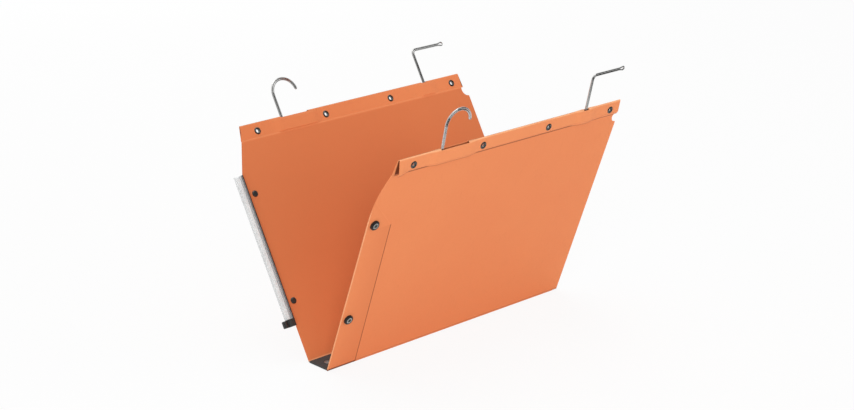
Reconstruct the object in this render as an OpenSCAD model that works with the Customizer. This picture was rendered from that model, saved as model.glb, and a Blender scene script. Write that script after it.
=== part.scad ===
// Hanging file folder for the side rails of a cupboard, standing open as it is shown.
// X runs along the folder from the label end to the far end, +Y is outward at the back panel
// and +Z is up. The origin is the middle of the underside of the bottom.

/* [Card] */
// Length of both panels along X
panel_w = 345; // [320:1:380]
// Height of a panel from its bottom crease to the fold of its hem, measured along the card
panel_h = 260; // [245:1:290]
// Width of the bottom between its two creases
bottom_w = 30; // [20:1:60]
// Thickness of the card
card_t = 0.5; // [0.4:0.05:0.6]
// Lean of the back panel away from upright, in degrees
back_tilt = 30; // [5:1:50]
// Lean of the front panel away from upright, in degrees
front_tilt = 20.5; // [5:0.5:50]
// Gap between a panel's lower edge and the rounded edge of the bottom at each crease
crease_gap = 0.3; // [0.2:0.05:0.5]

/* [Card outline] */
// Height at which the label end of the back panel starts to slope in
back_slope_z = 207; // [195:1:214]
// Height at which the label end of the front panel starts to slope in
front_slope_z = 190; // [180:1:200]
// Distance that the front panel stands nearer to the label end than the back panel
front_shift = 1.4; // [0:0.2:2]
// Height of the step at the far end of a panel
step_z = 232; // [224:1:234]
// Depth of the step at the far end of a panel
step_w = 8; // [7:0.5:12]
// Width of the folded edge of the front panel at the bottom crease
fold_low_w = 36; // [30:1:45]
// Width of the folded edge of the front panel at its top
fold_top_w = 31.5; // [26:0.5:38]
// Height of the folded edge where its top slope begins
fold_z = 180; // [165:1:185]
// Rise of the folded edge's top slope, from there to the label end
fold_rise = 37; // [20:1:40]

/* [Hem] */
// Height of the hem from its crease to its fold
hem_h = 17; // [16.5:0.5:20]
// Distance from the label end of the card to the hem
hem_lead = 19.5; // [17:0.5:24]
// Distance that the back panel's label end slopes in along its hem
back_hem_slope = 5.5; // [1:0.5:8]
// Distance that the front panel's label end slopes in along its hem
front_hem_slope = 6.5; // [1:0.5:8]
// Distance from the far end of the card to the hem
hem_tail = 5; // [4:0.5:6.5]
// Lean of the front hem towards the inside of the folder, in degrees
front_hem_lean = 7; // [0:1:10]
// Distance that the label end of the hem's flap stands open at its lower edge
hem_flare = 4; // [0:0.5:5]
// Depth of the notches cut in the fold for the hooks
notch_depth = 1.3; // [1:0.1:1.6]
// Clearance of the hem's card around a hook
hem_clear = 0.35; // [0.3:0.05:0.5]

/* [Hanger bar] */
// Thickness of the flat steel bar inside each hem
bar_t = 0.6; // [0.5:0.1:1]
// Height of the bar
bar_h = 8; // [7:0.5:9]
// Distance from the hem's fold to the middle of the bar
bar_drop = 9.4; // [9:0.1:10]
// Distance from the end of the hem to the end of the bar
bar_inset = 3; // [2:0.5:6]

/* [Eyelets] */
// Number of eyelets in each hem
eyelet_count = 4; // [3:1:4]
// Distance from the label end of the card to the first eyelet
eyelet_lead = 39.5; // [37:0.5:44]
// Distance from the far end of the card to the last eyelet
eyelet_tail = 19; // [16:0.5:24]
// Radius of the hole through an eyelet
eyelet_bore_r = 2; // [1.6:0.1:2.2]
// Radius of an eyelet's flanges
eyelet_flange_r = 4; // [3.5:0.1:4.5]
// Thickness of an eyelet's metal
eyelet_t = 0.3; // [0.2:0.05:0.4]
// Height of the rolled rim of an eyelet above the card
eyelet_roll_h = 0.7; // [0.4:0.1:0.9]

/* [Hooks] */
// Diameter of the hook wire
wire_d = 1.8; // [1.6:0.1:2]
// Gap between the two wires of a hook
wire_gap = 0.1; // [0.05:0.05:0.2]
// Running clearance between a hook and the bar
hook_fit = 0.1; // [0.05:0.05:0.15]
// Distance from the label end of the card to the stem of the round hook
round_hook_lead = 76.5; // [74:0.5:84]
// Distance that the round hook slides along the bar
hook_travel = 34; // [20:1:34]
// Height of the round hook's centre above the fold
round_hook_rise = 24.3; // [20:0.5:35]
// Radius of the round hook along the middle of its wires
round_hook_r = 16; // [12:0.5:20]
// Angle that the round hook turns through, in degrees
round_hook_turn = 171; // [140:1:180]
// Distance from the far end of the card to the stem of the arm hook
arm_hook_tail = 58.5; // [50:0.5:62]
// Height of the arm above the fold
arm_rise = 38.8; // [30:0.5:50]
// Radius of the bend between stem and arm
arm_bend_r = 4.9; // [3:0.1:8]
// Reach of the arm from its stem to the start of its end loop
arm_reach = 40.5; // [25:0.5:45]
// Length over which the two wires part to form the end loop
loop_run = 5.3; // [4:0.1:9]
// Radius of the end loop along the middle of its wire
loop_r = 1.9; // [1.6:0.1:3]

/* [Bottom] */
// Thickness of the plastic strip that stiffens the bottom
strip_t = 1.2; // [0.8:0.1:2]
// Length of the end pads that reach down through the card of the bottom
pad_len = 7.5; // [5:0.5:9]
// Distance from the end of the card to each bottom eyelet
bottom_eyelet_inset = 12.5; // [12.5:0.5:20]
// Radius of a bottom eyelet's flange
bottom_eyelet_r = 3.5; // [3:0.1:4]

/* [Press studs] */
// Distance from the label end of the card to the press studs
stud_lead = 7.8; // [6.5:0.1:9]
// Height of the lower press stud
stud_low_z = 66.5; // [56:0.5:80]
// Height of the upper press stud
stud_high_z = 186; // [170:0.5:194]
// Radius of the post of a stud
post_r = 2.05; // [1.8:0.05:2.1]
// Length of the straight part of a stud's post
post_len = 1.6; // [1.2:0.1:2.4]
// Radius of the base of a stud
stud_base_r = 4.2; // [3.6:0.1:5]
// Radius of the rivet shanks
shank_r = 1.5; // [1.2:0.05:1.6]
// Radial clearance around a rivet shank
shank_fit = 0.05; // [0.03:0.01:0.08]
// Radius of the round cap of a back rivet
cap_r = 3.5; // [3:0.1:4.5]
// Outer radius of a socket
socket_r = 5.2; // [4.5:0.1:6]
// Radial clearance between a post and the hole of a socket
socket_fit = 0.15; // [0.1:0.05:0.2]
// Radius of the flange of a front rivet
rivet_flange_r = 4; // [3.5:0.1:5]

/* [Label holder] */
// Height of the lower end of the label holder
holder_z = 41; // [36:1:44]
// Height of the upper end of the label holder
holder_top_z = 208; // [200:1:212]
// Height of the end cap below the clear cover
cap_h = 8; // [6:0.5:12]
// Thickness of the spine's flange behind the card
spine_t = 1.2; // [1:0.1:1.6]
// Width of the spine's flange on the card
flange_w = 13.5; // [12.5:0.5:18]
// Width of the spine's web outside the edge of the card
web_w = 1.8; // [1.6:0.1:3]
// Wall of the clear cover
cover_t = 0.7; // [0.5:0.1:0.9]
// Width of the clear cover across the edge of the card
cover_w = 9; // [9:0.5:12]
// Depth of the clear cover beyond the web
cover_d = 8.6; // [7:0.2:10]
// Thickness of the paper label
label_t = 0.4; // [0.3:0.05:0.5]
// Clearance of the paper label in its cover
label_clear = 0.3; // [0.3:0.05:0.4]
// Distance of the label's upper edge below the top of the cover
label_short = 3; // [1:0.5:10]
// Radius of the knob on the end cap
knob_r = 2.8; // [2.2:0.1:3.5]
// Step from the top of the end cap down to the top of its knob
knob_drop = 0.4; // [0.2:0.1:2]

/* [Hidden] */

// Overrun of every cut, the facet count of turned pieces and the sides of the hook wire
cut = 1;
round_fn = 48;
wire_sides = 12;

card_orange = [0.91, 0.53, 0.33];
plastic_black = [0.13, 0.13, 0.13];
nickel = [0.78, 0.78, 0.76];
clear_plastic = [0.85, 0.9, 0.92, 0.5];
label_white = [0.97, 0.97, 0.95];

half_card = card_t / 2;
label_x = -panel_w / 2;
far_x = panel_w / 2;
crease_y = bottom_w / 2;
crease_z = half_card;
hem_z = panel_h - hem_h;
edge_start = half_card + crease_gap;

// The hem: where its two card layers run, how far they stand apart and where they bulge
seat_gap = 0.05;
layer_y = bar_t / 2 + seat_gap + half_card;
bar_s = hem_h - bar_drop;
bar_low_s = bar_s - bar_h / 2;
bar_top_s = bar_s + bar_h / 2;
strand = (wire_d + wire_gap) / 2;
leg_y = bar_t / 2 + hook_fit + wire_d / 2;
bulge_y = leg_y + wire_d / 2 + hem_clear + half_card;
bulge = bulge_y - layer_y;
bulge_run = 14;
bulge_steps = 4;
low_bend_shares = [0.35, 0.7, 1];
top_bend_shares = [0, 0.4, 0.7, 1];
top_bend_h = 3.2;
fold_out = wire_d / 2 + hem_clear + half_card - layer_y;
hem_out = 0.9;
flap_close = 2 * layer_y + hem_out - card_t - seat_gap;
close_s = bar_low_s - hem_clear;
foot_s = bar_low_s - hook_fit - wire_d / 2;
foot_bend_r = wire_d / 2 + 2 * hook_fit;
foot_steps = 4;
round_steps = 16;
arm_bend_steps = 5;
turn_steps = 6;
loop_steps = 8;
loop_shares = [0.25, 0.5, 0.75, 1];
low_bend_h = foot_s - wire_d / 2 - hem_clear;
fold_turn_steps = 4;
flare_run = eyelet_lead - eyelet_flange_r - hem_lead - seat_gap;
flare_steps = 4;

notch_clear = 0.45;
hook_half = strand + wire_d / 2 + notch_clear;
round_hook_x = label_x + round_hook_lead;
arm_hook_x = far_x - arm_hook_tail;
arm_notch_lead = 2.4;
arm_notch_tail = 0.9;
splay_run = 4;

seam = 0.25;
corner = 1;
front_edge_shares = [
    [0, 0], [0.19, 0.035], [0.377, 0.106], [0.49, 0.206], [0.604, 0.319], [0.717, 0.482],
    [0.83, 0.674], [0.925, 0.858]
];
back_end_share = [0.72, 0.53];
front_end_share = [0.66, 0.82];
hem_end_slant = 1.5;
hem_start_x = label_x + hem_lead;
hem_stop_x = far_x - hem_tail;

first_eyelet_x = label_x + eyelet_lead;
eyelet_pitch = (panel_w - eyelet_lead - eyelet_tail) / (eyelet_count - 1);
barrel_r = eyelet_bore_r + eyelet_t;
barrel_hole_r = barrel_r + seat_gap;
barrel_half = layer_y + half_card;
roll_steps = 6;

stud_x = label_x + stud_lead;
shank_hole_r = shank_r + shank_fit;
stud_base_t = 0.8;
shank_end = 0.6;
post_tip_h = 0.35;
post_tip_r = post_r - post_tip_h;
cap_rim_h = 0.5;
cap_crown_h = 1.3;
cap_crown_share = 0.7;
socket_floor_t = 0.6;
rivet_head_t = 0.4;
rivet_head_r = post_r - socket_fit;
rivet_flange_t = 0.6;
socket_h = socket_floor_t + rivet_head_t + seat_gap + post_len;
socket_round = 0.8;

neck_w = 1;
neck_half = 0.9;
head_w = 0.6;
head_half = 1.7;
slot_clear = 0.15;
web_half = 1.2;
cover_back_x = web_w + slot_clear;
cover_mid_w = cover_w / 2 - cover_t / 2;
cover_nose = cover_d - cover_t - 2 * slot_clear;
nose_x = cover_back_x + cover_t + slot_clear;
nose_steps = 16;
knob_bite = 0.7;
knob_round = 0.6;
knob_x = web_w + cover_d + knob_r - knob_bite;
label_fold = 62;
label_inset = cover_t / 2 + label_clear + label_t / 2;

function tilt(back) = back ? back_tilt : front_tilt;
function lean(back) = back ? 0 : front_hem_lean;
function shift(back) = back ? 0 : -front_shift;
function hem_tip_x(back) = hem_start_x - (back ? back_hem_slope : front_hem_slope);
function ease(q) = let (c = min(1, max(0, q))) c * c * (3 - 2 * c);

// The outline of a ribbon of card or plastic whose middle runs through the points given
function unit(v) = v / norm(v);
function left_of(v) = [-v[1], v[0]];
function joint_normal(path, i) =
    let (
        before = unit(path[max(i, 1)] - path[max(i, 1) - 1]),
        after = unit(path[min(i + 1, len(path) - 1)] - path[min(i, len(path) - 2)]),
        middle = unit(left_of(before) + left_of(after))
    )
    middle / (middle * left_of(after));
function ribbon(path, thickness) = concat(
    [for (i = [0 : len(path) - 1]) path[i] + joint_normal(path, i) * thickness / 2],
    [for (i = [len(path) - 1 : -1 : 0]) path[i] - joint_normal(path, i) * thickness / 2]
);

// Places of a panel, a hem on it, and a turned fastener that points out of it
module on_panel(back) {
    mirror([0, back ? 0 : 1, 0])
        translate([0, crease_y, crease_z])
            rotate([-tilt(back), 0, 0])
                children();
}

module on_hem(back) {
    on_panel(back)
        translate([0, 0, hem_z])
            rotate([lean(back), 0, 0])
                translate([0, layer_y + hem_out, 0])
                    children();
}

module on_studs(y) {
    for (z = [stud_low_z, stud_high_z])
        translate([stud_x, y, z])
            rotate([-90, 0, 0])
                children();
}

// A flat sheet in the plane of the panel, from y upwards by its thickness
module sheet(y, thickness) {
    translate([0, y + thickness, 0])
        rotate([90, 0, 0])
            linear_extrude(thickness)
                children();
}

// How much the hem bulges at a place along it: fully over each hook, not at all at the eyelets
round_zone = [round_hook_x - 2 * hook_half, round_hook_x + hook_travel + 2 * hook_half];
arm_zone = [arm_hook_x - 2 * hook_half, arm_hook_x + 2 * hook_half];
function bulge_at(x, low, high) =
    min(ease((x - low) / bulge_run + 1), ease((high - x) / bulge_run + 1));
function hem_bulge(x) = bulge * max(
    bulge_at(x, round_zone[0], round_zone[1]),
    bulge_at(x, arm_zone[0], arm_zone[1])
);
function hem_flare_at(x) = hem_flare * ease(1 - (x - hem_start_x) / flare_run);

// The middle of the hem's card in section, from the crease up the inside, over the fold and down
function hem_path(x) =
    let (
        out = hem_bulge(x),
        in = out * (1 - fold_out / bulge),
        open = hem_flare_at(x),
        turn_s = hem_h - half_card - layer_y
    )
    concat(
        [[-layer_y - hem_out, -half_card], [-layer_y - hem_out, 0]],
        [for (q = low_bend_shares) [-layer_y - hem_out * (1 - q) - out * q, low_bend_h * q]],
        [for (q = top_bend_shares) [-layer_y - out + in * ease(q), turn_s - top_bend_h * (1 - q)]],
        [for (k = [1 : fold_turn_steps - 1])
            let (a = 180 - 180 * k / fold_turn_steps)
            [(layer_y + out - in) * cos(a), turn_s + layer_y * sin(a)]],
        [for (i = [len(top_bend_shares) - 1 : -1 : 0])
            let (q = top_bend_shares[i], down = top_bend_h * (1 - q))
            [layer_y + out - in * ease(q) + open * down / turn_s, turn_s - down]],
        [
            [layer_y + out + open * (turn_s - close_s) / turn_s, close_s],
            [layer_y + out + open - flap_close, 0]
        ]
    );

function ramp(low, high) = [
    for (k = [0 : bulge_steps]) low - bulge_run * (1 - k / bulge_steps),
    for (k = [0 : bulge_steps]) high + bulge_run * k / bulge_steps
];
function hem_stations(back) = concat(
    [min(hem_tip_x(back), hem_start_x - hem_end_slant) - seam],
    [for (k = [0 : flare_steps]) hem_start_x + flare_run * k / flare_steps],
    ramp(round_zone[0], round_zone[1]),
    ramp(arm_zone[0], arm_zone[1]),
    [hem_stop_x + seam]
);

module hem_loft(back) {
    sections = [for (x = hem_stations(back)) [for (p = ribbon(hem_path(x), card_t)) [x, p[0], p[1]]]];
    n = len(sections[0]);
    last = len(sections) - 1;
    polyhedron(
        points = [for (s = sections) each s],
        faces = concat(
            [[for (j = [n - 1 : -1 : 0]) j]],
            [[for (j = [0 : n - 1]) last * n + j]],
            [for (i = [0 : last - 1], j = [0 : n - 1])
                [i * n + j, (i + 1) * n + (j + 1) % n, (i + 1) * n + j]],
            [for (i = [0 : last - 1], j = [0 : n - 1])
                [i * n + j, i * n + (j + 1) % n, (i + 1) * n + (j + 1) % n]]
        )
    );
}

// The eyelets are evenly spaced, and those after the first stay clear of the round hook's bulge
past_bulge_x = round_zone[1] + bulge_run + eyelet_flange_r + seam;
function eyelet_x(k) =
    max(first_eyelet_x + eyelet_pitch * k, k > 0 ? past_bulge_x : first_eyelet_x);

module eyelet_places() {
    for (k = [0 : eyelet_count - 1])
        translate([eyelet_x(k), 0, bar_s])
            rotate([-90, 0, 0])
                children();
}

module hem_cuts(back) {
    reach = bulge_y + hem_flare + card_t;
    share = back ? back_end_share : front_end_share;
    kink_x = hem_tip_x(back) + (hem_start_x - hem_tip_x(back)) * share[0];
    eyelet_places()
        cylinder(r = barrel_hole_r, h = 2 * reach, center = true, $fn = round_fn);
    translate([round_hook_x - hook_half, -reach, hem_h - notch_depth])
        cube([hook_travel + 2 * hook_half, 2 * reach, notch_depth + cut]);
    translate([arm_hook_x - hook_half - arm_notch_lead, -reach, hem_h - notch_depth])
        cube([2 * hook_half + arm_notch_lead + arm_notch_tail, 2 * reach, notch_depth + cut]);
    // The label end slopes with the edge of the card inside, and stands nearly upright outside
    sheet(-reach, reach)
        polygon([
            [label_x, -cut], [hem_tip_x(back), -cut], [hem_tip_x(back), 0],
            [kink_x, hem_h * share[1]], [hem_start_x, hem_h + cut], [label_x, hem_h + cut]
        ]);
    sheet(0, reach)
        polygon([
            [label_x, -cut], [hem_start_x - hem_end_slant, -cut],
            [hem_start_x, hem_h + cut], [label_x, hem_h + cut]
        ]);
    sheet(-reach, 2 * reach)
        polygon([
            [hem_stop_x - hem_end_slant, -cut], [hem_stop_x, hem_h + cut],
            [hem_stop_x + cut, hem_h + cut], [hem_stop_x + cut, -cut]
        ]);
}

// A quarter round hollow between two points, bent towards the corner
function hollow(from, to) = [
    for (a = [0 : 15 : 90])
        [from[0] + (to[0] - from[0]) * (1 - cos(a)), from[1] + (to[1] - from[1]) * sin(a)]
];

function label_edge(back) =
    back
        ? [[label_x, back_slope_z]]
        : [
            for (q = front_edge_shares)
                [
                    label_x + shift(back) + (hem_tip_x(back) - label_x - shift(back)) * q[1],
                    front_slope_z + (hem_z - front_slope_z) * q[0]
                ]
        ];

module panel_outline(back) {
    polygon(concat(
        [[far_x + shift(back), edge_start], [label_x + shift(back), edge_start]],
        label_edge(back),
        [[hem_tip_x(back) + seam, hem_z], [hem_stop_x - hem_end_slant - corner, hem_z]],
        hollow(
            [far_x + shift(back) - step_w, step_z + step_w],
            [far_x + shift(back) - corner, step_z]
        ),
        [[far_x + shift(back), step_z - corner]]
    ));
}

module panel_card(back) {
    on_panel(back)
        difference() {
            sheet(-half_card, card_t)
                panel_outline(back);
            on_studs(-half_card - cut)
                cylinder(r = shank_hole_r, h = card_t + 2 * cut, $fn = round_fn);
        }
    on_hem(back)
        difference() {
            hem_loft(back);
            hem_cuts(back);
        }
}

module back_panel() {
    color(card_orange)
        panel_card(true);
}

// The front panel's label end is folded over, and the folded edge lies flat on its outer face
module front_panel() {
    color(card_orange) {
        panel_card(false);
        on_panel(false)
            difference() {
                sheet(half_card, card_t)
                    intersection() {
                        panel_outline(false);
                        polygon([
                            [label_x - 2 * front_shift, edge_start],
                            [label_x + fold_low_w, edge_start], [label_x + fold_top_w, fold_z],
                            [label_x - 2 * front_shift, fold_z + fold_rise]
                        ]);
                    }
                on_studs(half_card - cut)
                    cylinder(r = shank_hole_r, h = card_t + 2 * cut, $fn = round_fn);
            }
    }
}

module hanger_bar(back) {
    length = panel_w - hem_lead - hem_tail - 2 * bar_inset;
    color(nickel)
        on_hem(back)
            difference() {
                translate([hem_start_x + bar_inset, -bar_t / 2, bar_low_s])
                    cube([length, bar_t, bar_h]);
                eyelet_places()
                    cylinder(r = barrel_hole_r, h = bar_t + 2 * cut, center = true, $fn = round_fn);
            }
}

module hem_eyelets(back) {
    roll_r = (eyelet_flange_r - eyelet_bore_r) / 2;
    color(nickel)
        on_hem(back)
            eyelet_places()
                rotate_extrude($fn = round_fn)
                    polygon(concat(
                        [for (k = [0 : roll_steps])
                            let (a = 180 * k / roll_steps)
                            [
                                eyelet_bore_r + roll_r * (1 - cos(a)),
                                -barrel_half - eyelet_roll_h * sin(a)
                            ]],
                        [[barrel_r, -barrel_half], [barrel_r, barrel_half]],
                        [for (k = [0 : roll_steps])
                            let (a = 180 * k / roll_steps)
                            [
                                eyelet_bore_r + roll_r * (1 + cos(a)),
                                barrel_half + eyelet_roll_h * sin(a)
                            ]]
                    ));
}

// A wire swept along its middle line. The ring at each point keeps its turn from the last one.
function tangent(path, i) =
    unit(unit(path[min(i + 1, len(path) - 1)] - path[min(i, len(path) - 2)])
        + unit(path[max(i, 1)] - path[max(i, 1) - 1]));
function square_to(v, t) = unit(v - t * (v * t));
function ring_normals(path) = [
    for (i = 0, v = square_to([1, 0, 0], tangent(path, 0)); i < len(path);
        i = i + 1, v = square_to(v, tangent(path, min(i, len(path) - 1))))
        v
];

module wire(path) {
    normals = ring_normals(path);
    last = len(path) - 1;
    n = wire_sides;
    polyhedron(
        points = [
            for (i = [0 : last], k = [0 : n - 1])
                let (a = 360 * k / n, t = tangent(path, i), v = normals[i])
                path[i] + (v * cos(a) + cross(t, v) * sin(a)) * wire_d / 2
        ],
        faces = concat(
            [[for (k = [0 : n - 1]) k]],
            [[for (k = [n - 1 : -1 : 0]) last * n + k]],
            [for (i = [0 : last - 1], k = [0 : n - 1])
                [i * n + k, (i + 1) * n + k, (i + 1) * n + (k + 1) % n, i * n + (k + 1) % n]]
        )
    );
}

// One wire of a hook from its foot up: it turns up from under the bar, passes beside it on its own
// side and comes in beside the other wire, in the plane of the hook
function leg(x, side) = concat(
    [[x, 0, foot_s]],
    [for (k = [0 : foot_steps])
        let (a = 90 * k / foot_steps)
        [x, side * (leg_y - foot_bend_r * (1 - sin(a))), foot_s + foot_bend_r * (1 - cos(a))]],
    [[x, side * leg_y, bar_top_s], [x, 0, bar_top_s + splay_run]]
);

function round_wire(out) = concat(
    leg(-out, sign(out)),
    [for (k = [0 : round_steps])
        let (a = 180 - round_hook_turn * k / round_steps)
        [
            round_hook_r + (round_hook_r + out) * cos(a), 0,
            hem_h + round_hook_rise + (round_hook_r + out) * sin(a)
        ]]
);

function arm_wire(out) = concat(
    leg(-out, sign(out)),
    [for (k = [0 : arm_bend_steps])
        let (a = 90 * k / arm_bend_steps)
        [
            arm_bend_r - (arm_bend_r + out) * cos(a), 0,
            hem_h + arm_rise - arm_bend_r + (arm_bend_r + out) * sin(a)
        ]],
    [[arm_reach, 0, hem_h + arm_rise + out]],
    [for (q = loop_shares)
        [
            arm_reach + loop_run * q, 0,
            hem_h + arm_rise + out + (sign(out) * loop_r - out) * ease(q)
        ]]
);

function backwards(path) = [for (i = [len(path) - 1 : -1 : 0]) path[i]];

// Both wires of a hook are one length, bent back on itself at the hook's end
module round_hook(back) {
    end = 180 - round_hook_turn;
    color(nickel)
        on_hem(back)
            translate([round_hook_x, 0, 0])
                wire(concat(
                    round_wire(strand),
                    [for (k = [1 : turn_steps - 1])
                        let (
                            a = 180 * k / turn_steps,
                            far = round_hook_r + strand * cos(a),
                            on = strand * sin(a)
                        )
                        [
                            round_hook_r + far * cos(end) + on * sin(end), 0,
                            hem_h + round_hook_rise + far * sin(end) - on * cos(end)
                        ]],
                    backwards(round_wire(-strand))
                ));
}

module arm_hook(back) {
    loop_x = arm_reach + loop_run;
    color(nickel)
        on_hem(back)
            translate([arm_hook_x, 0, 0])
                wire(concat(
                    arm_wire(strand),
                    [for (k = [1 : loop_steps - 1])
                        let (a = 180 * k / loop_steps)
                        [loop_x + loop_r * sin(a), 0, hem_h + arm_rise + loop_r * cos(a)]],
                    backwards(arm_wire(-strand))
                ));
}

module back_rivets() {
    length = card_t + spine_t + shank_end;
    color(plastic_black)
        on_panel(true)
            on_studs(-half_card) {
                cylinder(r = shank_r, h = length, $fn = round_fn);
                rotate_extrude($fn = round_fn)
                    polygon([
                        [0, 0], [cap_r, 0], [cap_r, -cap_rim_h],
                        [cap_r * cap_crown_share, -cap_crown_h], [0, -cap_crown_h]
                    ]);
            }
}

module back_press_studs() {
    color(nickel)
        on_panel(true)
            on_studs(half_card + spine_t)
                difference() {
                    union() {
                        cylinder(r = stud_base_r, h = stud_base_t, $fn = round_fn);
                        cylinder(r = post_r, h = stud_base_t + post_len, $fn = round_fn);
                        translate([0, 0, stud_base_t + post_len])
                            cylinder(r1 = post_r, r2 = post_tip_r, h = post_tip_h, $fn = round_fn);
                    }
                    translate([0, 0, -cut])
                        cylinder(r = shank_hole_r, h = cut + shank_end + seat_gap, $fn = round_fn);
                }
}

module front_rivets() {
    floor_y = 1.5 * card_t + socket_floor_t;
    color(nickel)
        on_panel(false)
            on_studs(0) {
                translate([0, 0, -half_card - rivet_flange_t])
                    cylinder(r = rivet_flange_r, h = rivet_flange_t, $fn = round_fn);
                translate([0, 0, -half_card])
                    cylinder(r = shank_r, h = half_card + floor_y, $fn = round_fn);
                translate([0, 0, floor_y])
                    cylinder(r = rivet_head_r, h = rivet_head_t, $fn = round_fn);
            }
}

module front_press_sockets() {
    bore_r = post_r + socket_fit;
    head_top = socket_floor_t + rivet_head_t + seat_gap;
    color(plastic_black)
        on_panel(false)
            on_studs(1.5 * card_t)
                rotate_extrude($fn = round_fn)
                    polygon([
                        [shank_hole_r, 0], [socket_r, 0], [socket_r, socket_h - socket_round],
                        [socket_r - socket_round, socket_h], [bore_r, socket_h],
                        [bore_r, head_top], [rivet_head_r + seat_gap, head_top],
                        [rivet_head_r + seat_gap, socket_floor_t], [shank_hole_r, socket_floor_t]
                    ]);
}

// The label holder lies along the label end of the back panel
module on_holder(z) {
    on_panel(true)
        translate([label_x, 0, z])
            children();
}

module label_spine() {
    length = holder_top_z - holder_z - cap_h;
    color(plastic_black)
        difference() {
            on_holder(holder_z + cap_h)
                linear_extrude(length)
                    polygon([
                        [flange_w, half_card], [flange_w, half_card + spine_t],
                        [-web_w, half_card + spine_t], [-web_w, neck_half],
                        [-web_w - neck_w, neck_half], [-web_w - neck_w, head_half],
                        [-web_w - neck_w - head_w, head_half], [-web_w - neck_w - head_w, -head_half],
                        [-web_w - neck_w, -head_half], [-web_w - neck_w, -neck_half],
                        [-web_w, -neck_half], [-web_w, -web_half],
                        [-slot_clear, -web_half], [-slot_clear, half_card]
                    ]);
            on_panel(true)
                on_studs(half_card - cut)
                    cylinder(r = shank_hole_r, h = spine_t + 2 * cut, $fn = round_fn);
        }
}

function nose(inset, reach) = [
    for (k = [0 : nose_steps])
        let (a = reach - 2 * reach * k / nose_steps)
        [-nose_x - (cover_nose - inset) * cos(a), (cover_mid_w - inset) * sin(a)]
];

module label_cover() {
    lip_x = -cover_back_x - cover_t / 2;
    lip_y = neck_half + slot_clear;
    color(clear_plastic)
        on_holder(holder_z + cap_h)
            linear_extrude(holder_top_z - holder_z - cap_h)
                polygon(ribbon(
                    concat([[lip_x, lip_y], [lip_x, cover_mid_w]], nose(0, 90),
                        [[lip_x, -cover_mid_w], [lip_x, -lip_y]]),
                    cover_t
                ));
}

module label_end_cap() {
    knob_h = cap_h - knob_drop;
    color(plastic_black)
        on_holder(holder_z) {
            linear_extrude(cap_h)
                polygon(concat(
                    [[-slot_clear, -web_half], [-slot_clear, half_card + spine_t],
                        [-web_w, half_card + spine_t], [-web_w, cover_w / 2]],
                    nose(-cover_t / 2, 90),
                    [[-web_w, -cover_w / 2], [-web_w, -web_half]]
                ));
            translate([-knob_x, 0, 0])
                rotate_extrude($fn = round_fn)
                    polygon([
                        [0, 0], [knob_r - knob_round, 0], [knob_r, knob_round],
                        [knob_r, knob_h - knob_round], [knob_r - knob_round, knob_h], [0, knob_h]
                    ]);
        }
}

module label_insert() {
    foot = holder_z + cap_h + seat_gap;
    color(label_white)
        on_holder(foot)
            linear_extrude(holder_top_z - label_short - foot)
                polygon(ribbon(nose(label_inset, label_fold), label_t));
}

module bottom_card() {
    length = panel_w - 2 * pad_len;
    color(card_orange)
        difference() {
            union() {
                translate([-length / 2, -crease_y, 0])
                    cube([length, bottom_w, card_t]);
                for (side = [-1, 1])
                    translate([-length / 2, side * crease_y, crease_z])
                        rotate([0, 90, 0])
                            cylinder(r = half_card, h = length, $fn = round_fn);
            }
            bottom_eyelet_places()
                cylinder(r = barrel_hole_r, h = card_t + 2 * cut, center = true, $fn = round_fn);
        }
}

module bottom_eyelet_places() {
    for (side = [-1, 1])
        translate([side * (far_x - bottom_eyelet_inset), 0, half_card])
            children();
}

module bottom_strip() {
    width = bottom_w - 2 * edge_start;
    color(plastic_black)
        difference() {
            union() {
                translate([label_x, -width / 2, card_t])
                    cube([panel_w, width, strip_t]);
                for (x = [label_x, far_x - pad_len + seat_gap])
                    translate([x, -width / 2, 0])
                        cube([pad_len - seat_gap, width, card_t]);
            }
            bottom_eyelet_places()
                cylinder(r = barrel_hole_r, h = 2 * (card_t + strip_t), center = true, $fn = round_fn);
        }
}

module bottom_eyelets() {
    top = card_t + strip_t;
    color(nickel)
        translate([0, 0, -half_card])
            bottom_eyelet_places()
                rotate_extrude($fn = round_fn)
                    polygon([
                        [eyelet_bore_r, 0], [barrel_r, 0], [barrel_r, top],
                        [bottom_eyelet_r, top], [bottom_eyelet_r - eyelet_t, top + eyelet_t],
                        [eyelet_bore_r, top + eyelet_t]
                    ]);
}

module back_hanger_bar() {
    hanger_bar(true);
}

module back_hem_eyelets() {
    hem_eyelets(true);
}

module back_arm_hook() {
    arm_hook(true);
}

module back_round_hook() {
    round_hook(true);
}

module front_hanger_bar() {
    hanger_bar(false);
}

module front_hem_eyelets() {
    hem_eyelets(false);
}

module front_arm_hook() {
    arm_hook(false);
}

module front_round_hook() {
    round_hook(false);
}

back_panel();
back_hanger_bar();
back_hem_eyelets();
back_arm_hook();
back_round_hook();
back_rivets();
back_press_studs();
label_spine();
label_cover();
label_end_cap();
label_insert();
bottom_card();
bottom_strip();
bottom_eyelets();
front_panel();
front_hanger_bar();
front_hem_eyelets();
front_arm_hook();
front_round_hook();
front_rivets();
front_press_sockets();
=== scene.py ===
import math

import bmesh
import bpy
from mathutils import Matrix, Vector


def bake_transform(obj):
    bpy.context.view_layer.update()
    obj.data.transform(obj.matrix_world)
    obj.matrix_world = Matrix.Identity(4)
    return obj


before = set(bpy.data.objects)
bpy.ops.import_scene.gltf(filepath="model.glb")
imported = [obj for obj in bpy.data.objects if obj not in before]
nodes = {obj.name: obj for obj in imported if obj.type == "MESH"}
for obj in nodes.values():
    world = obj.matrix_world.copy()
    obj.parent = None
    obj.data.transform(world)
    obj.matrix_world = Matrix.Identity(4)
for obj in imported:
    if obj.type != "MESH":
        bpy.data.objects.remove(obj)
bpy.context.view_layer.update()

# Lengths are in millimetres, except those of the studio. MM is one millimetre in metres
MM = 0.001


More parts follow.
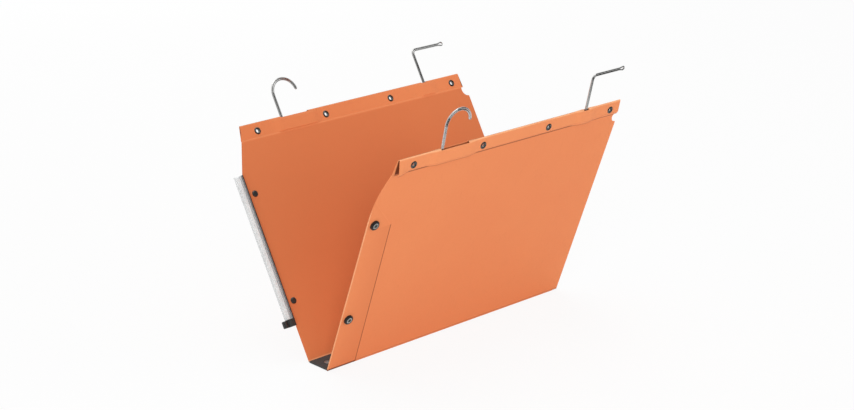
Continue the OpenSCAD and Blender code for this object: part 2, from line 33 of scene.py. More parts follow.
def reach(node_name, axis):
    """The lowest and the highest place of a node along an axis of the row frame."""
    places = [vertex.co[axis] / MM for vertex in nodes[node_name].data.vertices]
    return min(places), max(places)


# Sizes and places of the solids, which the materials and the creases follow. The bottom card
# lies at height 0, and its rounded edges reach half a thickness beyond the creases
LABEL_X, FAR_X = reach("back_panel", 0)
BOTTOM_CARD_X = reach("bottom_card", 0)
CARD_T = reach("bottom_card", 2)[1]
CREASE_Y = reach("bottom_card", 1)[1] - CARD_T / 2
CREASE_Z = CARD_T / 2
BACK_TILT = 30
FRONT_TILT = 20.5
FRONT_LEAN = 7
HEM_Z = 243
HEM_H = 17
FLAP_LEAD = 16.4
ARM_NOTCH_X = FAR_X - 80
STRIP_W = 36
STRIP_TOP = 180
STRIP_TAPER = 4.5
STRIP_SLOPE_W = 31.5
STRIP_SLOPE_H = 37
STUD_LEAD = 7.8
STUD_LOW_Z = 66.5
STUD_HIGH_Z = 186
SPINE_HEAD_X = LABEL_X - 2.7


def panel_tilt(back):
    return math.radians(BACK_TILT if back else FRONT_TILT)


def hem_lean(back):
    return math.radians(0 if back else FRONT_LEAN)


def outward(back):
    """The sign of Y on the outer side of a panel."""
    return 1 if back else -1


def between(a, b, share):
    return tuple(x + (y - x) * share for x, y in zip(a, b))


# Short calls for building node trees

class Nodes:
    """Short calls that add nodes to one tree. A number may stand wherever a socket may."""

    def __init__(self, tree):
        self.tree = tree

    def add(self, kind, **settings):
        node = self.tree.nodes.new(kind)
        for key, value in settings.items():
            setattr(node, key, value)
        return node

    def link(self, source, target):
        self.tree.links.new(source, target)

    def put(self, target, value):
        if isinstance(value, bpy.types.NodeSocket):
            self.link(value, target)
        else:
            target.default_value = value

    def math(self, operation, a, b=0.0, c=0.0):
        node = self.add("ShaderNodeMath", operation=operation)
        for socket, value in zip(node.inputs, (a, b, c)):
            self.put(socket, value)
        return node.outputs[0]

    def plus(self, a, b):
        return self.math("ADD", a, b)

    def minus(self, a, b):
        return self.math("SUBTRACT", a, b)

    def times(self, first, *others):
        for other in others:
            first = self.math("MULTIPLY", first, other)
        return first

    def sees_background(self):
        """1 for rays from the camera, from a mirror or through glass, and 0 for all others."""
        ray = self.add("ShaderNodeLightPath")
        indirect = self.math(
            "MAXIMUM", ray.outputs["Is Glossy Ray"], ray.outputs["Is Transmission Ray"])
        return self.math("MAXIMUM", ray.outputs["Is Camera Ray"], indirect)


class Shader(Nodes):
    """The nodes of a material that has one Principled surface."""

    def __init__(self, material):
        super().__init__(material.node_tree)
        self.material = material
        self.surface = next(n for n in self.tree.nodes if n.type == "BSDF_PRINCIPLED")
        self.place = self.add("ShaderNodeTexCoord").outputs["Object"]

    @classmethod
    def new(cls, name):
        material = bpy.data.materials.new(name)
        material.use_nodes = True
        bare = Nodes(material.node_tree)
        bare.tree.nodes.clear()
        output = bare.add("ShaderNodeOutputMaterial")
        surface = bare.add("ShaderNodeBsdfPrincipled")
        bare.link(surface.outputs[0], output.inputs[0])
        return cls(material)

    def colour(self):
        """The socket that now drives the surface's colour."""
        return self.surface.inputs["Base Color"].links[0].from_socket

    def set(self, **inputs):
        for key, value in inputs.items():
            socket = self.surface.inputs[key.replace("_", " ")]
            self.put(socket, (*value, 1.0) if isinstance(value, tuple) else value)
        return self.material

    def stretched(self, scale):
        node = self.add("ShaderNodeVectorMath", operation="MULTIPLY")
        self.link(self.place, node.inputs[0])
        node.inputs[1].default_value = scale
        return node.outputs[0]

    def along(self, direction, offset=0.0):
        """Distance in metres along a direction of the row frame, plus an offset."""
        node = self.add("ShaderNodeVectorMath", operation="DOT_PRODUCT")
        self.link(self.place, node.inputs[0])
        node.inputs[1].default_value = direction
        return self.plus(node.outputs["Value"], offset)

    def noise(self, scale, detail, roughness, stretch=None, distortion=0.0):
        """Noise from 0 to 1. A stretch below 1 along an axis draws its marks out that way."""
        node = self.add("ShaderNodeTexNoise")
        self.link(self.stretched(stretch) if stretch else self.place, node.inputs["Vector"])
        node.inputs["Scale"].default_value = scale
        node.inputs["Detail"].default_value = detail
        node.inputs["Roughness"].default_value = roughness
        node.inputs["Distortion"].default_value = distortion
        return node.outputs["Fac"]

    def span(self, value, start, end, result=(0.0, 1.0), smooth=False):
        """Maps start to the first result and end to the second, and holds them beyond."""
        node = self.add("ShaderNodeMapRange")
        node.interpolation_type = "SMOOTHSTEP" if smooth else "LINEAR"
        self.put(node.inputs["Value"], value)
        node.inputs["From Min"].default_value = start
        node.inputs["From Max"].default_value = end
        node.inputs["To Min"].default_value = result[0]
        node.inputs["To Max"].default_value = result[1]
        return node.outputs["Result"]

    def band(self, distance, band, result=(0.0, 1.0)):
        """As span, with the start and the end of a band in millimetres."""
        start, end = band
        return self.span(distance, start * MM, end * MM, result)

    def line(self, distance, line):
        """1 within a line's half width, falling to 0 over its soft rim, on both sides."""
        half_width, soft = line
        away = self.math("ABSOLUTE", distance)
        return self.span(
            away, half_width * MM, (half_width + soft) * MM, (1.0, 0.0), smooth=True)

    def mix(self, amount, a, b):
        node = self.add("ShaderNodeMix", data_type="RGBA")
        self.put(node.inputs["Factor"], amount)
        for socket, value in ((node.inputs[6], a), (node.inputs[7], b)):
            self.put(socket, (*value, 1.0) if isinstance(value, tuple) else value)
        return node.outputs[2]

    def bump(self, height, depth, strength, after=None):
        """A bump of a depth in millimetres, on top of the one after which it comes."""
        node = self.add("ShaderNodeBump")
        node.inputs["Strength"].default_value = strength
        node.inputs["Distance"].default_value = depth * MM
        self.link(height, node.inputs["Height"])
        if after:
            self.link(after, node.inputs["Normal"])
        return node.outputs["Normal"]


# Places on a panel, in metres, as sockets

def panel_high(s, back):
    """Height above the crease, measured up the panel's card."""
    tilt = panel_tilt(back)
    return s.along(
        (0.0, outward(back) * math.sin(tilt), math.cos(tilt)),
        -(CREASE_Y * math.sin(tilt) + CREASE_Z * math.cos(tilt)) * MM)


def panel_outer(s, back):
    """Distance from the middle of the panel's card towards the outer side."""
    tilt = panel_tilt(back)
    return s.along(
        (0.0, outward(back) * math.cos(tilt), -math.sin(tilt)),
        -(CREASE_Y * math.cos(tilt) - CREASE_Z * math.sin(tilt)) * MM)


def lengthwise(s):
    return s.along((1.0, 0.0, 0.0))


class PanelPlace:
    """The places that a panel's marks are drawn by."""

    def __init__(self, s, back):
        self.high = panel_high(s, back)
        self.outer = panel_outer(s, back)
        self.length = lengthwise(s)
        self.outside = s.band(self.outer, OUTSIDE_BAND)
        self.inside = s.minus(1.0, self.outside)
        self.over_hem_crease = s.minus(self.high, HEM_Z * MM)
        self.on_hem = s.band(self.high, HEM_TONE_BAND)


# The card

CARD = (0.8, 0.248, 0.094)
CARD_LIGHT = (0.88, 0.335, 0.14)
# The palest card tone, for rubbed wear and for painted highlights on folds and edges
CARD_PALEST = (0.95, 0.47, 0.24)
CARD_DARK = (0.66, 0.185, 0.066)
# A dark tone for painted shadow lines
CARD_PAINTED_SHADOW = (0.36, 0.1, 0.036)
CARD_SHADE = (0.13, 0.028, 0.01)
CARD_ROUGH = (0.62, 0.74)
CARD_SHINE = 0.24
CLOUD_SHARE = 0.24

# Marks of a panel: a band runs from where a mark starts to where it is full, a line has its half
# width and its soft rim, and a share says how far the mark's colour covers the card's
OUTSIDE_BAND = (-0.05, 0.1)
HEM_TONE_BAND = (HEM_Z - 2.0, HEM_Z + 0.5)
# Painted light on the front hem, and painted shade on the back panel below its hem
FRONT_HEM_PAINTED_LIGHT_SHARE = 0.32
BACK_PAINTED_SHADE_BAND = (20, 110)
BACK_PAINTED_SHADE_SHARES = (0.4, 0.75)
# The back hem darker towards the label end
BACK_HEM_BAND = (LABEL_X, LABEL_X + 220)
BACK_HEM_SHARES = (0.5, 0.12)
# A painted highlight along the hem's crease inside, and a painted shadow under the flap outside
HEM_HIGHLIGHT_LINE = (0.25, 0.7)
HEM_HIGHLIGHT_SHARE = 0.35
FLAP_LINE = (0.5, 0.4)
FLAP_LINE_DROP = 0.3
FLAP_LINE_BAND = (LABEL_X + FLAP_LEAD, LABEL_X + FLAP_LEAD + 1.0)
FLAP_LINE_SHARE = 0.8
# Wear along the top fold, where it is also a painted highlight, and along the lower edge
FOLD_WEAR_AND_HIGHLIGHT_BAND = (HEM_Z + HEM_H - 1.5, HEM_Z + HEM_H - 0.4)
FOOT_WEAR_BAND = (2.2, 0.4)
FOOT_WEAR_SHARE = 0.5
BACK_WEAR_AND_HIGHLIGHT_SHARES = (0.25, 0.75)
FRONT_WEAR_AND_HIGHLIGHT_SHARES = (0.55, 1.0)
WEAR_ROUGHER = 0.08
MOUTH_LAYER_BANDS = ((0.85, 0.95), (1.45, 1.35))
MOUTH_HEIGHT_BAND = (HEM_Z + 0.2, HEM_Z + 1.2)
MOUTH_START_BAND = (LABEL_X + FLAP_LEAD - 0.6, LABEL_X + FLAP_LEAD)
MOUTH_END_BAND = (ARM_NOTCH_X + 5, ARM_NOTCH_X)
MOUTH_SLANT = 2.8
MOUTH_SHARE = 0.9
PALE_FOOT_BAND = (2.6, 1.8)
PALE_FOOT_SHARE = 0.75
# The front panel's folded end: a painted shadow along the strip's free edge, painted highlights
# on its slope edge and on the fold, and painted shade along the foot
STRIP_TOP_BAND = (STRIP_TOP + 0.5, STRIP_TOP - 0.5)
STRIP_TONE_BAND = (-34, -2)
STRIP_TONE_SHARES = (0.0, 0.34)
STRIP_EDGE_BAND = (0.1, 0.0)
FREE_EDGE_LINE = (0.55, 0.5)
FREE_EDGE_GAP = 0.4
SLOPE_LINE = (0.3, 0.6)
SLOPE_BAND = (0.8, 0.2)
SLOPE_SHARE = 0.3
LABEL_FOLD_BAND = (LABEL_X - 0.2, LABEL_X - 1.1)
LABEL_FOLD_SHARES = (0.0, 0.7)
DARK_FOOT_BAND = (3.0, 2.0)
DARK_FOOT_EDGE_BAND = (1.5, 0.0)
DARK_FOOT_SHARES = (0.25, 0.9)


def card_surface(s):
    """Dyed file card: cloudy colour, short fibres and a fine tooth."""
    cloud = s.noise(scale=9.0, detail=5.0, roughness=0.6)
    fleck = s.noise(scale=950.0, detail=4.0, roughness=0.7, stretch=(0.28, 1.0, 1.0))
    fibre = s.noise(
        scale=520.0, detail=3.0, roughness=0.62, stretch=(1.0, 0.3, 0.22), distortion=0.6)
    tooth = s.noise(scale=2600.0, detail=2.0, roughness=0.6)
    colour = s.mix(s.span(cloud, 0.3, 0.72), CARD, between(CARD, CARD_LIGHT, CLOUD_SHARE))
    colour = s.mix(s.span(fleck, 0.56, 0.78, (0.0, 0.3)), colour, CARD_LIGHT)
    colour = s.mix(s.span(fibre, 0.58, 0.8, (0.0, 0.26)), colour, CARD_DARK)
    rough = s.span(cloud, 0.25, 0.75, CARD_ROUGH)
    normal = s.bump(tooth, depth=0.04, strength=0.5)
    normal = s.bump(fibre, depth=0.09, strength=0.55, after=normal)
    normal = s.bump(cloud, depth=0.6, strength=0.5, after=normal)
    return colour, rough, normal


def painted_panel_light_and_shade(s, colour, at, back):
    """Painted light on the front hem, painted shade on the back panel below its hem where the
    front panel shades it, and the back hem darker towards the label end.
    """
    if not back:
        # Painted light: the front hem lighter
        return s.mix(s.times(at.on_hem, FRONT_HEM_PAINTED_LIGHT_SHARE), colour, CARD_LIGHT)
    # Painted shade on the back panel below its hem, where the front panel shades it
    painted_panel_shade = s.times(
        s.minus(1.0, at.on_hem), s.band(at.high, BACK_PAINTED_SHADE_BAND, BACK_PAINTED_SHADE_SHARES))
    back_hem_darkening = s.times(at.on_hem, s.band(at.length, BACK_HEM_BAND, BACK_HEM_SHARES))
    return s.mix(back_hem_darkening, s.mix(painted_panel_shade, colour, CARD_DARK), CARD_DARK)


def hem_crease_lines(s, colour, at, back):
    """The hem's crease: a painted highlight along it on the inner face, and a painted shadow
    under the flap outside.
    """
    lean = hem_lean(back)
    # Painted highlight along the crease on the inner face
    painted_crease_highlight = s.times(s.line(at.over_hem_crease, HEM_HIGHLIGHT_LINE), at.inside, HEM_HIGHLIGHT_SHARE)
    colour = s.mix(painted_crease_highlight, colour, CARD_LIGHT)
    rise = s.minus(s.times(at.over_hem_crease, math.cos(lean)), s.times(at.outer, math.sin(lean)))
    # Painted shadow that the flap casts on the panel below its edge
    painted_flap_shadow = s.times(
        s.line(s.plus(rise, FLAP_LINE_DROP * MM), FLAP_LINE), at.outside,
        s.band(at.length, FLAP_LINE_BAND), FLAP_LINE_SHARE)
    return s.mix(painted_flap_shadow, colour, CARD_PAINTED_SHADOW)


def fold_wear_and_highlight(s, at, back):
    """Rubbed wear along the fold on top and along the lower edge; on the top fold it is also a
    painted highlight.
    """
    patches = s.noise(scale=70.0, detail=4.0, roughness=0.65)
    fold = s.band(at.high, FOLD_WEAR_AND_HIGHLIGHT_BAND)
    foot = s.times(s.band(at.high, FOOT_WEAR_BAND), FOOT_WEAR_SHARE)
    shares = BACK_WEAR_AND_HIGHLIGHT_SHARES if back else FRONT_WEAR_AND_HIGHLIGHT_SHARES
    return s.times(s.math("MAXIMUM", fold, foot), s.span(patches, 0.35, 0.65, shares))


def hem_mouth(s, colour, at, back):
    """Shade inside the hem's open label end, on the sides of the layers that face each other."""
    lean = hem_lean(back)
    layer = s.plus(s.times(at.outer, math.cos(lean)), s.times(at.over_hem_crease, math.sin(lean)))
    slanted = s.minus(at.length, s.times(at.over_hem_crease, MOUTH_SLANT / HEM_H))
    shade = s.times(
        *(s.band(layer, band) for band in MOUTH_LAYER_BANDS),
        s.band(at.high, MOUTH_HEIGHT_BAND), s.band(slanted, MOUTH_START_BAND),
        s.band(at.length, MOUTH_END_BAND), MOUTH_SHARE)
    return s.mix(shade, colour, CARD_SHADE)


def pale_foot(s, colour, at):
    """The back panel's lower edge, which stands out pale above the black strip."""
    foot = s.times(s.band(at.high, PALE_FOOT_BAND), at.inside, PALE_FOOT_SHARE)
    return s.mix(foot, colour, CARD_PALEST)


def folded_label_end(s, colour, at):
    """The front panel's folded end: the strip darker towards its free edge, a painted shadow
    along that edge, painted highlights on the slope edge and on the fold, and painted shade along
    the foot.
    """
    past_edge = s.minus(at.length, (LABEL_X + STRIP_W) * MM)
    past_edge = s.plus(past_edge, s.times(at.high, STRIP_TAPER / STRIP_TOP))
    on_strip = s.times(s.band(at.high, STRIP_TOP_BAND), at.outside)
    tone = s.times(
        s.band(past_edge, STRIP_TONE_BAND, STRIP_TONE_SHARES),
        s.band(past_edge, STRIP_EDGE_BAND), on_strip)
    colour = s.mix(tone, colour, CARD_DARK)

    # Painted shadow along the strip's free edge
    painted_edge_shadow = s.line(s.minus(past_edge, FREE_EDGE_GAP * MM), FREE_EDGE_LINE)
    colour = s.mix(s.times(painted_edge_shadow, on_strip), colour, CARD_PAINTED_SHADOW)

    # Painted highlight on the strip's slope edge
    slope = s.times(past_edge, STRIP_SLOPE_H / STRIP_SLOPE_W)
    over_slope = s.plus(s.minus(at.high, STRIP_TOP * MM), slope)
    painted_slope_highlight = s.times(
        s.line(over_slope, SLOPE_LINE), s.minus(at.outside, on_strip),
        s.band(past_edge, SLOPE_BAND), SLOPE_SHARE)
    colour = s.mix(painted_slope_highlight, colour, CARD_LIGHT)

    # Painted highlight on the fold at the label end
    painted_fold_highlight = s.band(at.length, LABEL_FOLD_BAND, LABEL_FOLD_SHARES)
    colour = s.mix(painted_fold_highlight, colour, CARD_PALEST)

    # Painted shade along the front panel's foot
    painted_foot_shade = s.times(
        s.band(at.high, DARK_FOOT_BAND), at.outside,
        s.band(past_edge, DARK_FOOT_EDGE_BAND, DARK_FOOT_SHARES))
    return s.mix(painted_foot_shade, colour, CARD_SHADE)


def plain_card_material(name):
    s = Shader.new(name)
    colour, rough, normal = card_surface(s)
    return s.set(
        Base_Color=colour, Roughness=rough, Normal=normal, Specular_IOR_Level=CARD_SHINE)


def panel_material(name, back):
    """The card of a panel, with wear on its folds and painted light and shade on its hem, folds
    and edges.
    """
    s = Shader.new(name)
    colour, rough, normal = card_surface(s)
    at = PanelPlace(s, back)
    colour = painted_panel_light_and_shade(s, colour, at, back)
    colour = hem_crease_lines(s, colour, at, back)
    wear_and_highlight = fold_wear_and_highlight(s, at, back)
    # Wear that lightens the card, with a painted highlight on the top fold
    colour = s.mix(wear_and_highlight, colour, CARD_LIGHT if back else CARD_PALEST)
    rough = s.plus(rough, s.times(wear_and_highlight, WEAR_ROUGHER))
    colour = hem_mouth(s, colour, at, back)
    colour = pale_foot(s, colour, at) if back else folded_label_end(s, colour, at)
    return s.set(
        Base_Color=colour, Roughness=rough, Normal=normal, Specular_IOR_Level=CARD_SHINE)


# Metal, plastic and paper

UNSTRETCHED = (1.0, 1.0, 1.0)
DRAWN_UPRIGHT = (1.0, 0.35, 0.35)
DRAWN_LENGTHWISE = (0.08, 1.0, 1.0)
WIRE_TONE = (0.6, 0.6, 0.59)
PLATED_TONE = (0.5, 0.5, 0.48)
EYELET_TONE = (0.13, 0.13, 0.125)
RING_TONE = (0.34, 0.34, 0.33)
BAR_TONE = (0.5, 0.5, 0.49)
METAL_DARK_SHARE = 0.66
METAL_ROUGHER = 0.14
BLACK = (0.012, 0.0125, 0.013)
CAP_BLACK = (0.022, 0.023, 0.022)
STRIP_BLACK = (0.042, 0.043, 0.043)
LIP_BLACK = (0.012, 0.012, 0.013)
SCUFF_GAIN = 2.6
SCUFF_LIFT = 0.01
BLACK_ROUGHER = 0.2
HEAD_BAND = (SPINE_HEAD_X, SPINE_HEAD_X - 0.2)
RIBS_PER_METRE = 420.0
RIB_DARK = (0.46, 0.47, 0.48)
RIB_PALE = (0.8, 0.81, 0.82)
SPRING_RING_BAND = (3.3, 3.0)
LIP_DEPTH_BAND = (-1.9, -2.1)
LIP_BAND = (SPINE_HEAD_X - 0.1, SPINE_HEAD_X)
LIP_ROUGHER = 0.3
COVER_PALE = (0.8, 0.82, 0.83)
COVER_HAZED = (0.66, 0.68, 0.69)
COVER_ALPHAS = (0.12, 0.5)
HAZE_ALPHAS = (0.0, 0.05)
PLASTIC_IOR = 1.46
PAPER = (0.9, 0.9, 0.89)
PAPER_PULP = (0.78, 0.78, 0.77)
PAPER_CLOUD = (0.84, 0.85, 0.86)


def metal_material(name, tone, rough, streak=UNSTRETCHED):
    """Plated steel: fine drawing marks, small dull patches and a few nicks."""
    s = Shader.new(name)
    drawn = s.noise(scale=1400.0, detail=3.0, roughness=0.6, stretch=streak)
    patch = s.noise(scale=160.0, detail=4.0, roughness=0.6)
    nick = s.noise(scale=620.0, detail=2.0, roughness=0.5)
    dark = tuple(c * METAL_DARK_SHARE for c in tone)
    colour = s.mix(s.span(patch, 0.35, 0.75, (0.0, 0.4)), tone, dark)
    colour = s.mix(s.span(nick, 0.68, 0.8, (0.0, 0.5)), colour, dark)
    roughness = s.plus(
        s.span(patch, 0.3, 0.7, (rough, rough + METAL_ROUGHER)),
        s.span(drawn, 0.3, 0.7, (0.0, 0.06)))
    normal = s.bump(drawn, depth=0.03, strength=0.5)
    normal = s.bump(nick, depth=0.05, strength=0.3, after=normal)
    return s.set(Base_Color=colour, Roughness=roughness, Metallic=1.0, Normal=normal)


def black_material(name, tone=BLACK, rough=0.42, shine=0.25):
    """Moulded black plastic: fine spark grain, duller where it is handled, with pale scuffs."""
    s = Shader.new(name)
    grain = s.noise(scale=2100.0, detail=3.0, roughness=0.6)
    worn = s.noise(scale=55.0, detail=5.0, roughness=0.65)
    scuff = s.noise(scale=330.0, detail=3.0, roughness=0.6, stretch=(0.25, 1.0, 1.0))
    pale = tuple(c * SCUFF_GAIN + SCUFF_LIFT for c in tone)
    colour = s.mix(s.span(worn, 0.4, 0.8, (0.0, 0.35)), tone, pale)
    colour = s.mix(s.span(scuff, 0.66, 0.8, (0.0, 0.4)), colour, pale)
    roughness = s.plus(
        s.span(worn, 0.3, 0.75, (rough, rough + BLACK_ROUGHER)),
        s.span(grain, 0.35, 0.7, (0.0, 0.08)))
    return s.set(Base_Color=colour, Roughness=roughness, Specular_IOR_Level=shine,
                 Normal=s.bump(grain, depth=0.05, strength=0.5))


def spine_material(name):
    """The label spine: black, with a paler ribbed head inside the cover."""
    s = Shader(black_material(name))
    ribs = s.add("ShaderNodeTexWave", wave_type="BANDS", bands_direction="Y")
    s.link(s.place, ribs.inputs["Vector"])
    ribs.inputs["Scale"].default_value = RIBS_PER_METRE
    pale = s.mix(s.span(ribs.outputs["Fac"], 0.3, 0.7), RIB_DARK, RIB_PALE)
    return s.set(Base_Color=s.mix(s.band(lengthwise(s), HEAD_BAND), s.colour(), pale))


def socket_material(name):
    """Black sockets whose mouth has a bright spring ring."""
    s = Shader(black_material(name))
    high = panel_high(s, back=False)
    across = s.minus(lengthwise(s), (LABEL_X + STUD_LEAD) * MM)
    is_upper = s.math("GREATER_THAN", high, (STUD_LOW_Z + STUD_HIGH_Z) / 2 * MM)
    stud_z = s.math("MULTIPLY_ADD", is_upper, (STUD_HIGH_Z - STUD_LOW_Z) * MM, STUD_LOW_Z * MM)
    rise = s.minus(high, stud_z)
    away = s.math("SQRT", s.plus(s.times(across, across), s.times(rise, rise)))
    ring = s.band(away, SPRING_RING_BAND)
    return s.set(Base_Color=s.mix(ring, s.colour(), PLATED_TONE), Metallic=ring)


def clear_material(name):
    """Clear extruded plastic: draw lines, handling haze, and a black lip on the inner side."""
    s = Shader.new(name)
    draw_lines = s.noise(scale=1500.0, detail=2.0, roughness=0.5, stretch=(1.0, 0.06, 0.06))
    haze = s.noise(scale=60.0, detail=4.0, roughness=0.6)
    lip = s.times(
        s.band(panel_outer(s, back=True), LIP_DEPTH_BAND), s.band(lengthwise(s), LIP_BAND))
    colour = s.mix(s.span(haze, 0.35, 0.7), COVER_PALE, COVER_HAZED)
    colour = s.mix(lip, colour, LIP_BLACK)
    roughness = s.plus(
        s.span(haze, 0.35, 0.75, (0.02, 0.07)), s.span(draw_lines, 0.4, 0.7, (0.0, 0.03)))
    roughness = s.plus(roughness, s.times(lip, LIP_ROUGHER))
    # Thin walls are faint where they face the eye and denser along their edges
    turned_away = s.add("ShaderNodeLayerWeight").outputs["Facing"]
    veil = s.plus(
        s.span(turned_away, 0.1, 1.0, COVER_ALPHAS), s.span(haze, 0.35, 0.75, HAZE_ALPHAS))
    return s.set(Base_Color=colour, Roughness=roughness, IOR=PLASTIC_IOR,
                 Normal=s.bump(draw_lines, depth=0.04, strength=0.4),
                 Alpha=s.math("MAXIMUM", veil, lip))


def label_material(name):
    """White label stock with a soft pulp pattern."""
    s = Shader.new(name)
    pulp = s.noise(scale=700.0, detail=4.0, roughness=0.65)
    cloud = s.noise(scale=45.0, detail=3.0, roughness=0.5)
    colour = s.mix(s.span(pulp, 0.4, 0.75), PAPER, PAPER_PULP)
    colour = s.mix(s.span(cloud, 0.4, 0.7, (0.0, 0.3)), colour, PAPER_CLOUD)
    return s.set(Base_Color=colour, Roughness=s.span(pulp, 0.3, 0.7, (0.55, 0.75)),
                 Normal=s.bump(pulp, depth=0.05, strength=0.5))


plain_card = plain_card_material("card_plain")
wire = metal_material("wire", WIRE_TONE, rough=0.1, streak=DRAWN_UPRIGHT)
plated = metal_material("plated", PLATED_TONE, rough=0.22)
eyelet_metal = metal_material("eyelet_metal", EYELET_TONE, rough=0.2)
bar_steel = metal_material("bar_steel", BAR_TONE, rough=0.34, streak=DRAWN_LENGTHWISE)
black_cap = black_material("black_cap", CAP_BLACK, rough=0.26, shine=0.5)

FINISHES = {
    "back_panel": panel_material("card_back", back=True),
    "back_hanger_bar": bar_steel,
    "back_hem_eyelets": eyelet_metal,
    "back_arm_hook": wire,
    "back_round_hook": wire,
    "back_rivets": black_cap,
    "back_press_studs": plated,
    "label_spine": spine_material("spine"),
    "label_cover": clear_material("clear"),
    "label_insert": label_material("label_paper"),
    "label_end_cap": black_cap,
    "bottom_card": plain_card,
    "bottom_strip": black_material("black_strip", STRIP_BLACK, rough=0.5),
    "bottom_eyelets": metal_material("bottom_ring", RING_TONE, rough=0.34),
    "front_panel": panel_material("card_front", back=False),
    "front_hanger_bar": bar_steel,
    "front_hem_eyelets": eyelet_metal,
    "front_arm_hook": wire,
    "front_round_hook": wire,
    "front_rivets": plated,
    "front_press_sockets": socket_material("sockets"),
}
for node_name, finish in FINISHES.items():
    node_mesh = nodes[node_name].data
    node_mesh.materials.clear()
    node_mesh.materials.append(finish)


# The card itself bends through each crease: a short elbow joins the panel to the bottom

ELBOW_REACH = 0.95
ELBOW_HINGE = 0.6
ELBOW_BEND = 0.45
ELBOW_PROUD = 0.02
ELBOW_BEND_STEPS = 8
ELBOW_LENGTH_STEPS = 44


def add_object(name, mesh):
    added = bpy.data.objects.new(name, mesh)
    bpy.context.scene.collection.objects.link(added)
    return added


def loft(name, sections, finish):
    """A closed smooth body through rings of points, with flat ends."""
    n = len(sections[0])
    points = [tuple(p) for ring in sections for p in ring]
    faces = [tuple(range(n)), tuple(range(len(points) - n, len(points)))]
    for i in range(len(sections) - 1):
        for j in range(n):
            k = (j + 1) % n
            faces.append((i * n + j, i * n + k, (i + 1) * n + k, (i + 1) * n + j))
    mesh = bpy.data.meshes.new(name)
    mesh.from_pydata(points, [], faces)
    mesh.materials.append(finish)
    for polygon in mesh.polygons:
        polygon.use_smooth = True
    build = bmesh.new()
    build.from_mesh(mesh)
    bmesh.ops.recalc_face_normals(build, faces=build.faces)
    build.to_mesh(mesh)
    build.free()
    return add_object(name, mesh)


def elbow_path(axis, up, level):
    """The middle line of the bent card, from the panel round the crease to the bottom."""
    path = [axis + up * ELBOW_REACH, axis + up * ELBOW_HINGE]
    on_panel, on_bottom = axis + up * ELBOW_BEND, axis + level * ELBOW_BEND
    for k in range(1, ELBOW_BEND_STEPS):
        t = k / ELBOW_BEND_STEPS
        path.append(on_panel * (1 - t) ** 2 + axis * 2 * t * (1 - t) + on_bottom * t * t)
    return path + [axis + level * ELBOW_HINGE, axis + level * ELBOW_REACH]


def thickened(path, half):
    """A ring of points at half a thickness on both sides of a path."""
    outer, inner = [], []
    for i, p in enumerate(path):
        run = (path[min(i + 1, len(path) - 1)] - path[max(i - 1, 0)]).normalized()
        normal = Vector((-run.y, run.x))
        outer.append(p + normal * half)
        inner.append(p - normal * half)
    return outer + inner[::-1]


def crease(name, back):
    tilt = panel_tilt(back)
    axis = Vector((outward(back) * CREASE_Y, CREASE_Z))
    up = Vector((outward(back) * math.sin(tilt), math.cos(tilt)))
    level = Vector((-outward(back), 0.0))
    ring = thickened(elbow_path(axis, up, level), CARD_T / 2 + ELBOW_PROUD)
    start_x, end_x = BOTTOM_CARD_X
    step = (end_x - start_x) / ELBOW_LENGTH_STEPS
    sections = [
        [Vector((start_x + step * i, p.x, p.y)) * MM for p in ring]
        for i in range(ELBOW_LENGTH_STEPS + 1)
    ]
    piece = loft(name, sections, plain_card)
    if back:
        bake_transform(piece)
    else:
        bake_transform(piece)


crease("back_crease_card", back=True)
crease("front_crease_card", back=False)


# Camera: where the photograph was taken from

CAMERA_PLACE = Vector((-1347.0, -1416.3, 793.2)) * MM
CAMERA_AZIMUTH = -43.184
CAMERA_ELEVATION = 18.551
CAMERA_ROLL = -0.056
CAMERA_LENS = 81.0
SENSOR_WIDTH = 36.0
CLIP_RANGE_M = (0.05, 50.0)


def turned(azimuth, elevation, roll):
    az, el, ro = (math.radians(a) for a in (azimuth, elevation, roll))
    away = Vector((math.sin(az) * math.cos(el), -math.cos(az) * math.cos(el), math.sin(el)))
    right = Vector((math.cos(az), math.sin(az), 0.0))
    up = away.cross(right)
    side = right * math.cos(ro) + up * math.sin(ro)
    top = up * math.cos(ro) - right * math.sin(ro)
    return Matrix((side, top, away)).transposed().to_4x4()


def add_camera():
    camera = add_object("camera", bpy.data.cameras.new("camera"))
    camera.data.sensor_width = SENSOR_WIDTH
    camera.data.lens = CAMERA_LENS
    camera.data.clip_start, camera.data.clip_end = CLIP_RANGE_M
    camera.matrix_world = Matrix.Translation(CAMERA_PLACE) @ turned(
        CAMERA_AZIMUTH, CAMERA_ELEVATION, CAMERA_ROLL)
    bpy.context.scene.camera = camera


# The studio: floor, dark cards, world and lamps. Lengths are in metres here, powers in watts

WHITE = (1.0, 1.0, 1.0, 1.0)
FLOOR_HALF = 9.0
FLOOR_LEVEL = -0.0006
FLOOR_TONES = ((0.93, 0.93, 0.93), (0.9, 0.9, 0.9))
FLOOR_ROUGH = 0.9
FLOOR_GLOW_SHARE = 0.9
ROOM_LIGHT = 0.5
DARK_TONES = ((0.01, 0.01, 0.01), (0.02, 0.02, 0.02))
DARK_ROUGH = 0.95


def plane(name, half_width, half_height, level=0.0):
    w, h = half_width, half_height
    mesh = bpy.data.meshes.new(name)
    mesh.from_pydata(
        [(-w, -h, level), (w, -h, level), (w, h, level), (-w, h, level)], [], [(0, 1, 2, 3)])
    return add_object(name, mesh)


def aimed(place, axis):
    """A placed matrix whose own Z points along an axis."""
    return Matrix.Translation(place) @ axis.to_track_quat("Z", "Y").to_matrix().to_4x4()


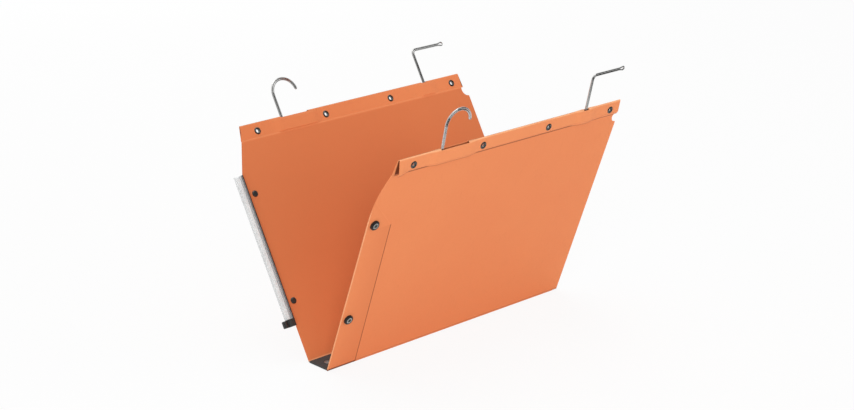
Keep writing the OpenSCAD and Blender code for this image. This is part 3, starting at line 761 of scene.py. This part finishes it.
def add_floor():
    """A pale floor: white to the camera, in mirrors and through glass, apart from its shadows."""
    floor = plane("floor", FLOOR_HALF, FLOOR_HALF, FLOOR_LEVEL)
    s = Shader.new("floor")
    mottle = s.noise(scale=3.0, detail=3.0, roughness=0.5)
    s.set(Base_Color=s.mix(mottle, *FLOOR_TONES), Roughness=FLOOR_ROUGH)
    glow = s.add("ShaderNodeEmission")
    glow.inputs["Color"].default_value = WHITE
    glow.inputs["Strength"].default_value = 1.0
    both = s.add("ShaderNodeMixShader")
    s.link(s.times(s.sees_background(), FLOOR_GLOW_SHARE), both.inputs[0])
    s.link(s.surface.outputs[0], both.inputs[1])
    s.link(glow.outputs[0], both.inputs[2])
    output = next(n for n in s.tree.nodes if n.type == "OUTPUT_MATERIAL")
    s.link(both.outputs[0], output.inputs[0])
    floor.data.materials.append(s.material)


def dark_card(name, place, target, width, height):
    """A black card that only reflections see, so that bright metal gets dark edges."""
    card = plane(name, width / 2, height / 2)
    card.matrix_world = aimed(Vector(place), Vector(target) - Vector(place))
    s = Shader.new(name)
    weave = s.noise(scale=400.0, detail=2.0, roughness=0.5)
    s.set(Base_Color=s.mix(weave, *DARK_TONES), Roughness=DARK_ROUGH)
    card.data.materials.append(s.material)
    card.visible_camera = False
    card.visible_diffuse = False
    card.visible_shadow = False
    card.visible_transmission = False


def add_world():
    """Soft even light, which looks white to the camera, in mirrors and through glass."""
    world = bpy.data.worlds.new("studio")
    bpy.context.scene.world = world
    world.use_nodes = True
    n = Nodes(world.node_tree)
    n.tree.nodes.clear()
    room, white = (n.add("ShaderNodeBackground") for _ in range(2))
    for background, strength in ((room, ROOM_LIGHT), (white, 1.0)):
        background.inputs["Color"].default_value = WHITE
        background.inputs["Strength"].default_value = strength
    pick = n.add("ShaderNodeMixShader")
    n.link(n.sees_background(), pick.inputs[0])
    n.link(room.outputs[0], pick.inputs[1])
    n.link(white.outputs[0], pick.inputs[2])
    n.link(pick.outputs[0], n.add("ShaderNodeOutputWorld").inputs[0])


def lamp(name, place, target, size, power, mirrored=False):
    """A soft lamp. Unless it is mirrored, reflections don't show it."""
    data = bpy.data.lights.new(name, "AREA")
    data.shape = "RECTANGLE"
    data.size, data.size_y = size
    data.energy = power
    lamp_object = add_object(name, data)
    lamp_object.matrix_world = aimed(Vector(place), Vector(place) - Vector(target))
    lamp_object.visible_glossy = mirrored


add_camera()
add_floor()
dark_card("dark_left", (-1.5, -0.95, 0.5), (0.0, 0.0, 0.2), width=1.7, height=2.2)
dark_card("dark_front", (-0.3, -1.7, 0.15), (0.0, 0.0, 0.2), width=1.7, height=0.8)
dark_card("dark_right", (1.5, -1.1, 0.7), (0.0, 0.0, 0.3), width=2.4, height=2.4)
dark_card("dark_low", (0.0, -0.8, 0.002), (0.0, -0.8, 1.0), width=2.8, height=0.8)
add_world()
lamp("key", (-1.9, -1.7, 1.0), (0.0, 0.0, 0.12), size=(1.3, 1.3), power=29)
lamp("fill", (1.8, -2.2, 0.5), (0.0, 0.0, 0.12), size=(1.6, 1.2), power=18)
lamp("rear", (1.2, 2.4, 0.9), (0.0, 0.0, 0.15), size=(1.6, 1.3), power=16)
lamp("top", (0.0, 0.4, 2.4), (0.0, 0.0, 0.1), size=(1.6, 1.6), power=14, mirrored=True)

bpy.context.scene.view_settings.view_transform = "Standard"
